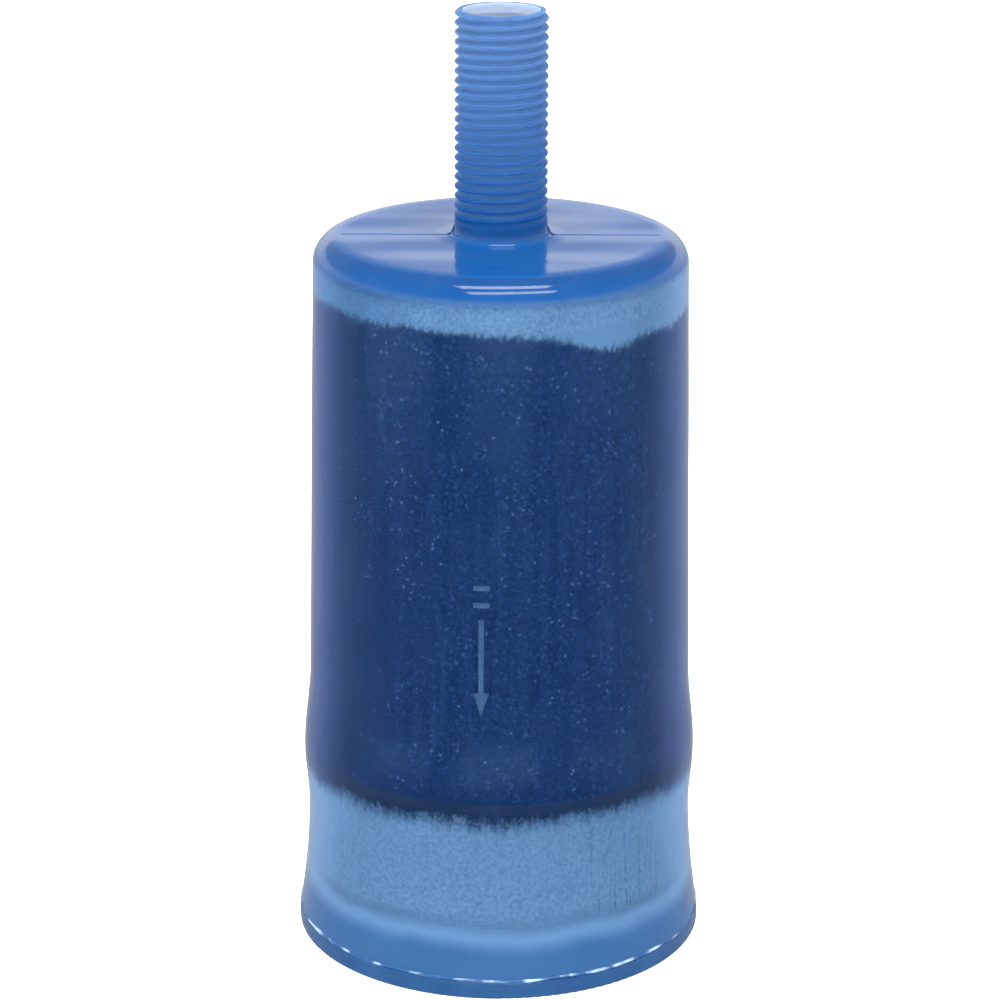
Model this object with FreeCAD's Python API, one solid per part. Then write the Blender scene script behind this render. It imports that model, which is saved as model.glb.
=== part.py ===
"""Pneumatic muffler: a welded plastic housing with a threaded neck, packed with felt and fibre.

Air comes in through the neck, runs down a perforated tube that is closed at its foot, passes out
through the wraps and the divider disc, and leaves through the felt pads and the holes in the end
cap. Millimetres, +Z up, origin at the middle of the foot.
"""

import FreeCAD, Part
import math
import os

Vector = FreeCAD.Vector

# Housing
body_height = 108.7        # foot to the flat roof
body_radius = 27.56        # outside, where the drafted side would meet the roof
draft_deg = 1.07           # the side opens toward the foot
side_wall = 1.5
roof_wall = 3.0
shoulder_radius = 3.8
seam_height = 2.9          # the cap's flange below it, the shell above it
foot_flare = 1.2           # the side swells this much at the seam
flare_height = 12.5
flare_middle_share = 0.42  # what is left of the flare half way up
bulge_rise = 0.78          # the divider presses the side out
bulge_reach = 12.5         # from the bulge's peak to the straight side above it
waist_drop = 10.0          # from the bulge's peak to the waist below it
seam_chamfer = 0.35

# Threaded neck, 1/4-18 pipe thread size, moulded parallel
neck_height = 33.2
thread_radius = 6.85
thread_pitch = 25.4 / 18
thread_depth = 0.7
thread_root_flat = 0.24
thread_flank_deg = 29.5
thread_lead_in = 0.6       # plain neck between the collar and the first groove
bore_radius = 5.2
mouth_radius = 5.5
mouth_depth = 0.9
rim_chamfer = 0.45
collar_height = 2.7
collar_radius = 7.25
collar_middle_share = 0.25  # what is left of the collar half way up
sector_count = 8           # the thread is cut sector by sector
groove_overrun = 0.3       # the cutter stands this far proud of the crest
sector_overrun_deg = 7.5

# Moulded marks on the housing
parting_width = 0.3
parting_rise = 0.12
parting_end_gap = 0.5
neck_fin_reach = 0.6
neck_fin_height = 2.0
neck_fin_root = 0.3         # how far a fin stands in the neck and the roof
arrow_azimuth_deg = -5.3   # turned from the front toward -X
arrow_top = 64.2
arrow_length = 19.6
arrow_rise = 0.2
arrow_shaft_width = 0.8
arrow_head_width = 2.4
arrow_head_length = 3.2
arrow_tick_count = 2
arrow_tick_pitch = 2.6
arrow_tick_height = 0.8

# End cap
flange_overhang = 0.164     # the flange stands this far outside the shell's foot
flange_round = 0.5
plug_height = 5.6          # the wall that locates the cap inside the shell
plug_wall = 2.0
plug_clearance = 0.05
foot_rim_width = 4.6
foot_recess = 0.8
outlet_hole_radius = 1.5
outlet_hole_pitch = 5.6
weld_radius = 0.42

# Felt pads and screens below the divider
screen_thickness = 0.6
screen_hole_radius = 0.9
screen_hole_pitch = 3.6
divider_height = 29.4      # its mid-plane
divider_thickness = 1.5
divider_hole_radius = 1.25
divider_hole_pitch = 4.6
hole_edge_land = 1.6       # solid rim left round a field of holes

# Diffuser tube, plug and lock ring
tube_outer_radius = 6.5
tube_wall = 1.0
tube_socket_depth = 1.5    # how far the tube enters the roof
tube_clearance = 0.05
tube_hole_radius = 1.1
tube_hole_rows = 11
tube_holes_per_row = 8
tube_plain_end = 9.0       # no holes this near either end of the free tube
boss_length = 8.0
boss_wall = 2.1
lock_ring_thickness = 1.5
plug_flange_thickness = 1.2
plug_spigot_length = 4.0
plug_pin_radius = 2.0

# Fibre wraps and the upper pad
soft_clearance = 0.1
upper_felt_thickness = 5.0
middle_wrap_radius = 18.0

# Modelling allowances, which leave no mark on a finished piece
overrun = 1.0              # a cutter starts and ends this far outside what it cuts
fuse_depth = 1.0           # a boss, neck or mark starts this deep in what it joins
probe_height = 0.02

# Levels and radii that follow from the sizes above
draft_slope = math.tan(math.radians(draft_deg))
roof_inside = body_height - roof_wall
neck_top = body_height + neck_height
thread_bottom = body_height + collar_height
plug_top = seam_height + plug_height
screen_top = seam_height + screen_thickness
divider_bottom = divider_height - divider_thickness / 2
divider_top = divider_height + divider_thickness / 2
tube_bottom = divider_top + plug_flange_thickness
tube_top = body_height - tube_socket_depth
boss_bottom = roof_inside - boss_length
boss_radius = tube_outer_radius + boss_wall
wrap_inner_radius = boss_radius + soft_clearance
packing_top = roof_inside - upper_felt_thickness


def draft_radius(height):
    """Outside radius of the straight, drafted side at a height."""
    return body_radius + (body_height - height) * draft_slope


flange_radius = draft_radius(seam_height) + foot_flare + flange_overhang


def side_curve(inset):
    """Lower stretch of the side, flare to waist to bulge, set in from the outside."""
    steps = [
        (seam_height, foot_flare),
        (seam_height + flare_height / 2, foot_flare * flare_middle_share),
        (divider_height - waist_drop, 0.0),
        (divider_height, bulge_rise),
        (divider_height + bulge_reach, 0.0),
    ]
    points = [Vector(draft_radius(z) + rise - inset, 0, z) for z, rise in steps]
    curve = Part.BSplineCurve()
    curve.interpolate(
        Points=points,
        InitialTangent=Vector(-2 * foot_flare / flare_height, 0, 1),
        FinalTangent=Vector(-draft_slope, 0, 1),
    )
    return curve


def body_of_revolution(inset, top, corner):
    """Solid inside the housing's side, set in by inset, closed by a flat top with a round corner."""
    curve = side_curve(inset)
    start = curve.StartPoint
    joint = curve.EndPoint
    corner_z = top - corner
    corner_x = draft_radius(corner_z) - inset - corner
    diagonal = corner * math.sqrt(0.5)
    side_end = Vector(corner_x + corner, 0, corner_z)
    roof_start = Vector(corner_x, 0, top)
    middle = Vector(corner_x + diagonal, 0, corner_z + diagonal)
    edges = [
        Part.makeLine(Vector(0, 0, start.z), start),
        curve.toShape(),
        Part.makeLine(joint, side_end),
        Part.Arc(side_end, middle, roof_start).toShape(),
        Part.makeLine(roof_start, Vector(0, 0, top)),
        Part.makeLine(Vector(0, 0, top), Vector(0, 0, start.z)),
    ]
    return revolved(Part.Wire(edges))


def revolved(wire, angle=360):
    """Turn a closed outline in the XZ plane about the Z axis."""
    return Part.Face(wire).revolve(Vector(0, 0, 0), Vector(0, 0, 1), angle)


def polygon(points):
    """Closed outline in the XZ plane from (radius, height) pairs."""
    corners = [Vector(x, 0, z) for x, z in points]
    return Part.makePolygon(corners + corners[:1])


def rod(radius, bottom, top, x=0.0, y=0.0):
    """Upright cylinder between two heights."""
    return Part.makeCylinder(radius, top - bottom, Vector(x, y, bottom))


def sleeve(inner, outer, bottom, top):
    """Upright tube between two heights."""
    return rod(outer, bottom, top).cut(rod(inner, bottom - overrun, top + overrun))


def slice_of(solid, bottom, top):
    """The part of a solid between two heights."""
    return solid.common(rod(2 * flange_radius, bottom, top))


def cavity(clearance):
    """Space inside the shell, less a clearance at its side."""
    corner = shoulder_radius - side_wall
    return body_of_revolution(side_wall + clearance, roof_inside, corner)


def cavity_radius(height):
    """Radius of the space inside the shell at a height."""
    section = slice_of(cavity(0), height - probe_height / 2, height + probe_height / 2)
    return section.BoundBox.XLength / 2


def hole_field(hole_radius, pitch, inner, outer, bottom, top):
    """Upright drills in rings about the axis, between two radii."""
    drills = []
    for ring in range(int(outer / pitch) + 1):
        ring_radius = ring * pitch
        if ring_radius < inner or ring_radius > outer:
            continue
        count = max(1, int(2 * math.pi * ring_radius / pitch))
        for index in range(count):
            angle = 2 * math.pi * index / count
            x = ring_radius * math.cos(angle)
            y = ring_radius * math.sin(angle)
            drills.append(rod(hole_radius, bottom - overrun, top + overrun, x, y))
    return drills


def make_thread_cutter():
    """Groove cutter for one sector of one turn, starting just before angle zero."""
    root = thread_radius - thread_depth
    outside = thread_radius + groove_overrun
    root_half = thread_root_flat / 2
    mouth_half = root_half + (outside - root) * math.tan(math.radians(thread_flank_deg))
    outline = polygon([
        (outside, -mouth_half),
        (root, -root_half),
        (root, root_half),
        (outside, mouth_half),
    ])
    sweep_deg = 360 / sector_count + 2 * sector_overrun_deg
    helix = Part.makeHelix(thread_pitch, thread_pitch * sweep_deg / 360, thread_radius)
    cutter = Part.Wire(helix.Edges).makePipeShell([outline], True, True)
    cutter.rotate(Vector(0, 0, 0), Vector(0, 0, 1), -sector_overrun_deg)
    cutter.translate(Vector(0, 0, -thread_pitch * sector_overrun_deg / 360))
    return cutter


def make_neck():
    """Threaded neck, cut sector by sector so that each turn's crest is made of short faces."""
    collar_middle_radius = thread_radius + (collar_radius - thread_radius) * collar_middle_share
    outline = polygon([
        (bore_radius, body_height - fuse_depth),
        (collar_radius, body_height - fuse_depth),
        (collar_radius, body_height),
        (collar_middle_radius, body_height + collar_height / 2),
        (thread_radius, thread_bottom),
        (thread_radius, neck_top - rim_chamfer),
        (thread_radius - rim_chamfer, neck_top),
        (mouth_radius, neck_top),
        (mouth_radius, neck_top - mouth_depth),
        (bore_radius, neck_top - mouth_depth - (mouth_radius - bore_radius)),
    ])
    sector_deg = 360 / sector_count
    cutter = make_thread_cutter()
    first_turn = thread_bottom + thread_lead_in
    sectors = []
    for index in range(sector_count):
        level = first_turn + thread_pitch * index / sector_count
        grooves = []
        while level < neck_top + thread_pitch:
            groove = cutter.copy()
            groove.translate(Vector(0, 0, level))
            grooves.append(groove)
            level += thread_pitch
        sector = revolved(outline, sector_deg).cut(grooves)
        sector.rotate(Vector(0, 0, 0), Vector(0, 0, 1), sector_deg * index)
        sectors.append(sector)
    return sectors[0].multiFuse(sectors[1:])


def make_flow_arrow():
    """Raised arrow on the front of the side that points the way the air runs."""
    tip = arrow_top - arrow_length
    head_top = tip + arrow_head_length
    ticks_height = arrow_tick_count * arrow_tick_pitch
    shaft = arrow_shaft_width / 2
    head = arrow_head_width / 2
    outlines = [polygon([
        (0, tip),
        (head, head_top),
        (shaft, head_top),
        (shaft, arrow_top - ticks_height),
        (-shaft, arrow_top - ticks_height),
        (-shaft, head_top),
        (-head, head_top),
    ])]
    for index in range(arrow_tick_count):
        top = arrow_top - index * arrow_tick_pitch
        bottom = top - arrow_tick_height
        outlines.append(polygon([(-head, bottom), (head, bottom), (head, top), (-head, top)]))
    reach = Vector(0, -2 * body_radius, 0)
    solids = [Part.Face(outline).extrude(reach) for outline in outlines]
    arrow = solids[0].multiFuse(solids[1:])
    arrow.rotate(Vector(0, 0, 0), Vector(0, 0, 1), arrow_azimuth_deg)
    grown = body_of_revolution(-arrow_rise, body_height, shoulder_radius)
    return arrow.common(grown).cut(body_of_revolution(side_wall / 2, body_height, shoulder_radius))


def make_parting_marks():
    """Mould parting line across the roof, and the fins where it climbs the neck."""
    end = draft_radius(body_height) - shoulder_radius - parting_end_gap
    root = collar_radius - fuse_depth
    half = parting_width / 2
    fin_inside = thread_radius - neck_fin_root
    fin_outside = collar_radius + neck_fin_reach
    marks = []
    for side in (-1, 1):
        start = min(side * root, side * end)
        rise = Part.makeBox(
            end - root,
            parting_width,
            parting_rise + fuse_depth,
            Vector(start, -half, body_height - fuse_depth),
        )
        fin_outline = polygon([
            (side * fin_inside, body_height - neck_fin_root),
            (side * fin_outside, body_height - neck_fin_root),
            (side * fin_outside, body_height),
            (side * fin_inside, body_height + neck_fin_height),
        ])
        fin = Part.Face(fin_outline).extrude(Vector(0, parting_width, 0))
        fin.translate(Vector(0, -half, 0))
        marks += [rise, fin]
    return marks


def make_shell():
    """Housing: drafted side, roof with the tube's boss, threaded neck and moulded marks."""
    outside = body_of_revolution(0, body_height, shoulder_radius)
    boss = rod(boss_radius, boss_bottom, roof_inside + fuse_depth)
    shell = outside.cut(cavity(0)).fuse(boss)
    socket = rod(tube_outer_radius + tube_clearance, boss_bottom - overrun, tube_top)
    shell = shell.cut([socket, rod(bore_radius, boss_bottom, neck_top)])
    corner = side_curve(0).StartPoint.x
    bevel = polygon([
        (corner + overrun, seam_height - overrun),
        (corner + overrun, seam_height + seam_chamfer),
        (corner, seam_height + seam_chamfer),
        (corner - seam_chamfer, seam_height),
        (corner - seam_chamfer, seam_height - overrun),
    ])
    shell = shell.cut(revolved(bevel))
    return shell.multiFuse([make_neck(), make_flow_arrow()] + make_parting_marks())


def make_end_cap():
    """Flanged cap with a plug wall that fits the shell, and the outlet holes."""
    flange = rod(flange_radius, 0, seam_height)
    flange = flange.makeFillet(flange_round, [e for e in flange.Edges if e.Closed])
    recess_radius = flange_radius - foot_rim_width
    plug = slice_of(cavity(plug_clearance), seam_height, plug_top)
    plug = plug.cut(rod(plug_inner_radius, seam_height - overrun, plug_top + overrun))
    cap = flange.fuse(plug).cut(rod(recess_radius, -overrun, foot_recess))
    limit = min(recess_radius, plug_inner_radius) - hole_edge_land - outlet_hole_radius
    drills = hole_field(outlet_hole_radius, outlet_hole_pitch, 0, limit, 0, seam_height)
    return cap.cut(drills)


def make_weld_bead(shell, end_cap):
    """Bead of melted plastic that closes the seam between shell and cap."""
    start = side_curve(0).StartPoint.x
    bead = Part.makeTorus(start - seam_chamfer / 2, weld_radius, Vector(0, 0, seam_height))
    bead = bead.cut([shell, end_cap])
    outer = max(bead.Solids, key=lambda solid: solid.BoundBox.XLength)
    return outer


def make_outlet_screen():
    """Perforated disc that keeps the felt out of the outlet holes."""
    radius = plug_inner_radius - soft_clearance
    disc = rod(radius, seam_height, screen_top)
    limit = radius - hole_edge_land - screen_hole_radius
    drills = hole_field(
        screen_hole_radius, screen_hole_pitch, 0, limit, seam_height, screen_top
    )
    return disc.cut(drills)


def make_lower_felts():
    """Three felt pads: one inside the cap's plug wall, two between it and the divider."""
    middle = (plug_top + divider_bottom) / 2
    space = cavity(soft_clearance)
    return [
        rod(plug_inner_radius - soft_clearance, screen_top, plug_top),
        slice_of(space, plug_top, middle),
        slice_of(space, middle, divider_bottom),
    ]


def make_divider_disc():
    """Perforated plate that carries the tube and the wraps."""
    disc = slice_of(cavity(tube_clearance), divider_bottom, divider_top)
    limit = cavity_radius(divider_height) - hole_edge_land - divider_hole_radius
    inner = tube_outer_radius + divider_hole_radius + hole_edge_land
    drills = hole_field(
        divider_hole_radius, divider_hole_pitch, inner, limit, divider_bottom, divider_top
    )
    centre = rod(plug_pin_radius, divider_bottom - overrun, divider_top + overrun)
    return disc.cut(drills + [centre])


def make_diffuser_tube():
    """Perforated tube from the roof's socket down to its plug, with staggered holes."""
    tube = sleeve(tube_inner_radius, tube_outer_radius, tube_bottom, tube_top)
    first = tube_bottom + tube_plain_end
    last = boss_bottom - tube_plain_end
    step = (last - first) / (tube_hole_rows - 1)
    turn = 360 / tube_holes_per_row
    drills = []
    for row in range(tube_hole_rows):
        for index in range(tube_holes_per_row):
            angle = turn * (index + 0.5 * (row % 2))
            drill = Part.makeCylinder(
                tube_hole_radius,
                tube_wall + 2 * overrun,
                Vector(tube_inner_radius - overrun, 0, first + row * step),
                Vector(1, 0, 0),
            )
            drill.rotate(Vector(0, 0, 0), Vector(0, 0, 1), angle)
            drills.append(drill)
    return tube.cut(drills)


def make_diffuser_plug():
    """Plug that closes the tube's foot, with a pin that centres it in the divider."""
    flange = rod(tube_outer_radius, divider_top, tube_bottom)
    spigot = rod(tube_inner_radius - tube_clearance, divider_top, tube_bottom + plug_spigot_length)
    pin = rod(plug_pin_radius - tube_clearance, divider_bottom, divider_top + fuse_depth)
    return flange.multiFuse([spigot, pin]).removeSplitter()


def make_lock_ring():
    """Push-on ring that holds the tube up against the shell's boss."""
    return sleeve(
        tube_outer_radius + tube_clearance,
        boss_radius,
        boss_bottom - lock_ring_thickness,
        boss_bottom,
    )


def make_wraps():
    """Three nested fibre wraps round the tube: fine, coarse and the outer roll."""
    ring_bottom = boss_bottom - lock_ring_thickness
    inner = sleeve(tube_outer_radius + soft_clearance, boss_radius, divider_top, ring_bottom)
    middle = sleeve(wrap_inner_radius, middle_wrap_radius, divider_top, packing_top)
    outer = slice_of(cavity(soft_clearance), divider_top, packing_top)
    hole_radius = middle_wrap_radius + soft_clearance
    hole = rod(hole_radius, divider_top - overrun, packing_top + overrun)
    return [inner, middle, outer.cut(hole)]


def make_upper_felt():
    """Felt ring between the wraps and the roof."""
    pad = slice_of(cavity(soft_clearance), packing_top, roof_inside)
    return pad.cut(rod(wrap_inner_radius, packing_top - overrun, roof_inside + overrun))


plug_inner_radius = cavity_radius(plug_top) - plug_wall
tube_inner_radius = tube_outer_radius - tube_wall


def main():
    """Build every piece and write one STEP file for each."""
    shell = make_shell()
    end_cap = make_end_cap()
    lower_felts = make_lower_felts()
    wraps = make_wraps()
    pieces = {
        "shell": shell,
        "end_cap": end_cap,
        "weld_bead": make_weld_bead(shell, end_cap),
        "outlet_screen": make_outlet_screen(),
        "lower_felt_1": lower_felts[0],
        "lower_felt_2": lower_felts[1],
        "lower_felt_3": lower_felts[2],
        "divider_disc": make_divider_disc(),
        "diffuser_plug": make_diffuser_plug(),
        "diffuser_tube": make_diffuser_tube(),
        "tube_lock_ring": make_lock_ring(),
        "inner_wrap": wraps[0],
        "middle_wrap": wraps[1],
        "outer_wrap": wraps[2],
        "upper_felt": make_upper_felt(),
    }
    os.makedirs("parts", exist_ok=True)
    for name, shape in pieces.items():
        shape.exportStep("parts/" + name + ".step")
        size = shape.BoundBox
        print(name, shape.isValid(), len(shape.Solids), round(shape.Volume, 1), round(size.ZMin, 2),
              round(size.ZMax, 2), round(size.XLength / 2, 2))


main()
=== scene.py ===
"""Visual model of a pneumatic muffler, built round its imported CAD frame.

A translucent blue housing with a threaded neck shows the felt pads and the dark fibre roll that
are packed inside it. Metres, +Z up, origin at the middle of the foot.
"""

import logging
import math
from dataclasses import dataclass, field
from enum import Enum
from typing import Any, Callable

import bpy
import numpy as np
from mathutils import Euler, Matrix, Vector, noise


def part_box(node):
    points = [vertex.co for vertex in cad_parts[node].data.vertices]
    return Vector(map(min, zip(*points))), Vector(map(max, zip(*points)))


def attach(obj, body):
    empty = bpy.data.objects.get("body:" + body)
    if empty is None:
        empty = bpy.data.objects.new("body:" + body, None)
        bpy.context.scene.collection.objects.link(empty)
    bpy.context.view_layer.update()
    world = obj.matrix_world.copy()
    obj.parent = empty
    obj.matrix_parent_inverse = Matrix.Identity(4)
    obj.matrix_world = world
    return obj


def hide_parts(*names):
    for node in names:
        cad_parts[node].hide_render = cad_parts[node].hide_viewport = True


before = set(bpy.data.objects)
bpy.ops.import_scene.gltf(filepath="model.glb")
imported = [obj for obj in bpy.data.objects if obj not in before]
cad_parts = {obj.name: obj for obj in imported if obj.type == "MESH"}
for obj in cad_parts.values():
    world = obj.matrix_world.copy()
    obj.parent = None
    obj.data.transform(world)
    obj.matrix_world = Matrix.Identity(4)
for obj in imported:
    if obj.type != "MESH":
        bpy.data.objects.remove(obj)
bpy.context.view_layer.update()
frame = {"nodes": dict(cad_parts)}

ROOT = "root"
MM = 0.001
LOG = logging.getLogger("muffler")

Point = tuple[float, float]
Colour = tuple[float, float, float, float]


# ---------------------------------------------------------------- shader building


class Signal:
    """One shader value. Arithmetic on it adds Math nodes to its recipe."""

    def __init__(self, recipe: "Recipe", socket: bpy.types.NodeSocket) -> None:
        """Wrap an output socket of a recipe's node."""
        self.recipe = recipe
        self.socket = socket

    def math(self, operation: str, *others: Any) -> "Signal":
        """Apply a Math node.

        Args:
            operation: The Math node's operation.
            others: Further operands, signals or numbers.

        Returns:
            The node's output.
        """
        return self.recipe.math(operation, self, *others)

    def __add__(self, other: Any) -> "Signal":
        """Sum."""
        return self.math("ADD", other)

    __radd__ = __add__

    def __mul__(self, other: Any) -> "Signal":
        """Product."""
        return self.math("MULTIPLY", other)

    __rmul__ = __mul__

    def __sub__(self, other: Any) -> "Signal":
        """Difference."""
        return self.math("SUBTRACT", other)

    def __rsub__(self, other: Any) -> "Signal":
        """Reflected difference."""
        return self.recipe.math("SUBTRACT", other, self)

    def __truediv__(self, other: Any) -> "Signal":
        """Quotient."""
        return self.math("DIVIDE", other)

    def __rpow__(self, base: float) -> "Signal":
        """A number raised to this signal."""
        return self.recipe.math("POWER", base, self)

    def __neg__(self) -> "Signal":
        """Negative."""
        return self * -1.0

    def step(self, low: float, high: float) -> "Signal":
        """Smooth rise from 0 at low to 1 at high; low may be the larger."""
        rising = low < high
        ends = (low, high) if rising else (high, low)
        mapped = self.recipe.node(
            "ShaderNodeMapRange",
            {"interpolation_type": "SMOOTHSTEP"},
            {"Value": self, "From Min": ends[0], "From Max": ends[1]},
        )
        rise = Signal(self.recipe, mapped.outputs[0])
        return rise if rising else 1.0 - rise


class Recipe:
    """A material that is put together node by node."""

    def __init__(self, name: str) -> None:
        """Start an empty material."""
        self.material = bpy.data.materials.new(name)
        self.material.use_nodes = True
        self.tree = self.material.node_tree
        self.tree.nodes.clear()
        place = self.node("ShaderNodeTexCoord").outputs["Object"]
        self.place = place
        split = self.node("ShaderNodeSeparateXYZ", values={0: place})
        self.x, self.y, self.z = (Signal(self, out) for out in split.outputs)

    def node(
        self,
        kind: str,
        settings: dict[str, Any] | None = None,
        values: dict[Any, Any] | None = None,
    ) -> bpy.types.Node:
        """Add a node.

        Args:
            kind: The node's type name.
            settings: Attributes, set first.
            values: Socket name or index to a number, colour, signal or socket.

        Returns:
            The new node.
        """
        made = self.tree.nodes.new(kind)
        for key, value in (settings or {}).items():
            setattr(made, key, value)
        for key, value in (values or {}).items():
            socket = made.inputs[key]
            if isinstance(value, Signal):
                self.tree.links.new(value.socket, socket)
            elif isinstance(value, bpy.types.NodeSocket):
                self.tree.links.new(value, socket)
            else:
                socket.default_value = value
        return made

    def math(self, operation: str, *operands: Any) -> Signal:
        """Add a Math node on signals or numbers and return its output."""
        made = self.node("ShaderNodeMath", {"operation": operation}, dict(enumerate(operands)))
        return Signal(self, made.outputs[0])

    def stretched(self, x: float, y: float, z: float) -> bpy.types.NodeSocket:
        """Object coordinates scaled along each axis."""
        mapping = self.node("ShaderNodeMapping", values={"Vector": self.place, "Scale": (x, y, z)})
        return mapping.outputs[0]

    def wound(self, across: float, up: float) -> bpy.types.NodeSocket:
        """Azimuth in degrees and height, each scaled, for upright marks on the side."""
        made = self.node(
            "ShaderNodeCombineXYZ", values={0: self.azimuth() * across, 1: self.z * up}
        )
        return made.outputs[0]

    def cloud(self, scale: float, detail: float = 2.0, at: Any = None) -> Signal:
        """Noise from 0 to 1, in cells of 1/scale metres."""
        made = self.node(
            "ShaderNodeTexNoise",
            {"noise_dimensions": "3D"},
            {"Vector": at or self.place, "Scale": scale, "Detail": detail},
        )
        return Signal(self, made.outputs[0])

    def grains(self, scale: float, at: Any = None) -> Signal:
        """Distance to the nearest of scattered points, in cells of 1/scale metres."""
        made = self.node(
            "ShaderNodeTexVoronoi", {}, {"Vector": at or self.place, "Scale": scale}
        )
        return Signal(self, made.outputs["Distance"])

    def azimuth(self) -> Signal:
        """Angle round the body in degrees: 0 at the front (-Y), positive toward +X."""
        return self.math("ARCTAN2", self.x, -self.y) * (180 / math.pi)

    def blend(self, factor: Any, first: Any, second: Any) -> bpy.types.NodeSocket:
        """Colour between two colours."""
        mixed = self.node(
            "ShaderNodeMix", {"data_type": "RGBA"}, {0: factor, 6: first, 7: second}
        )
        return mixed.outputs[2]

    def bump(self, height: Signal, strength: float, distance: float) -> bpy.types.NodeSocket:
        """Normal from a height signal."""
        made = self.node(
            "ShaderNodeBump",
            values={"Height": height, "Strength": strength, "Distance": distance},
        )
        return made.outputs[0]

    def surface(self, values: dict[str, Any]) -> bpy.types.NodeSocket:
        """Add the Principled shader."""
        return self.node("ShaderNodeBsdfPrincipled", values=values).outputs[0]

    def mix(self, factor: Signal, first: Any, second: Any) -> bpy.types.NodeSocket:
        """Shader between two shaders."""
        made = self.node("ShaderNodeMixShader", values={0: factor, 1: first, 2: second})
        return made.outputs[0]

    def finish(
        self, shader: bpy.types.NodeSocket, inside: bpy.types.NodeSocket | None = None
    ) -> bpy.types.Material:
        """Link the shaders to the output.

        Args:
            shader: What the surface does.
            inside: What the solid inside does, or None.

        Returns:
            The material.
        """
        values = {"Surface": shader} | ({"Volume": inside} if inside else {})
        self.node("ShaderNodeOutputMaterial", values=values)
        return self.material


# ---------------------------------------------------------------- finishes


@dataclass(frozen=True)
class DustEdge:
    """Where the dark packing ends against the roof felt, as seen round the wall."""

    level: float = 100.9 * MM
    notch: float = 1.9 * MM
    notch_azimuth: float = 35.0
    notch_width: float = 11.0
    sag: float = 2.0 * MM
    sag_azimuth: float = 60.0
    sag_width: float = 40.0
    waviness: float = 1.5 * MM
    raggedness: float = 1.3 * MM
    softness: float = 0.55 * MM
    ripple_scale: float = 90.0
    hair_scale: tuple[float, float, float] = (1900, 1900, 800)

    def hollow(self, recipe: Recipe, depth: float, azimuth: float, width: float) -> Signal:
        """A dip of the edge round an azimuth."""
        turn = (recipe.azimuth() - azimuth) / width
        return math.e ** (-(turn * turn)) * depth

    def below(self, recipe: Recipe) -> Signal:
        """1 below the ragged edge and 0 above it."""
        ripple = (recipe.cloud(self.ripple_scale, 2.0) - 0.5) * (2 * self.waviness)
        hairs = recipe.cloud(1.0, 5.0, recipe.stretched(*self.hair_scale))
        ragged = (hairs - 0.5) * (2 * self.raggedness)
        notch = self.hollow(recipe, self.notch, self.notch_azimuth, self.notch_width)
        sag = self.hollow(recipe, self.sag, self.sag_azimuth, self.sag_width)
        height = recipe.z + notch + sag + ripple + ragged
        return height.step(self.level + self.softness, self.level - self.softness)


@dataclass(frozen=True)
class DustFringe:
    """Dust that has crept down the felt from the divider, in uneven upright wisps."""

    divider_foot: float = 28.65 * MM
    reach: float = 3.2 * MM
    waviness: float = 3.0 * MM
    wisps: float = 3.2 * MM
    fine_wisps: float = 2.88 * MM
    gap: float = 0.1 * MM
    swell_scale: float = 70.0
    wisp_scale: tuple[float, float, float] = (1000, 1000, 130)
    fine_scale: float = 2200.0

    def above(self, recipe: Recipe) -> Signal:
        """1 above the fringe and 0 below it."""
        swell = (recipe.cloud(self.swell_scale, 2.0) - 0.5) * self.waviness
        wisps = (recipe.cloud(1.0, 5.0, recipe.stretched(*self.wisp_scale)) - 0.5) * self.wisps
        fine = (recipe.cloud(self.fine_scale, 3.0) - 0.5) * self.fine_wisps
        height = recipe.z + swell + wisps + fine
        return height.step(self.divider_foot - self.reach, self.divider_foot - self.gap)


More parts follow.
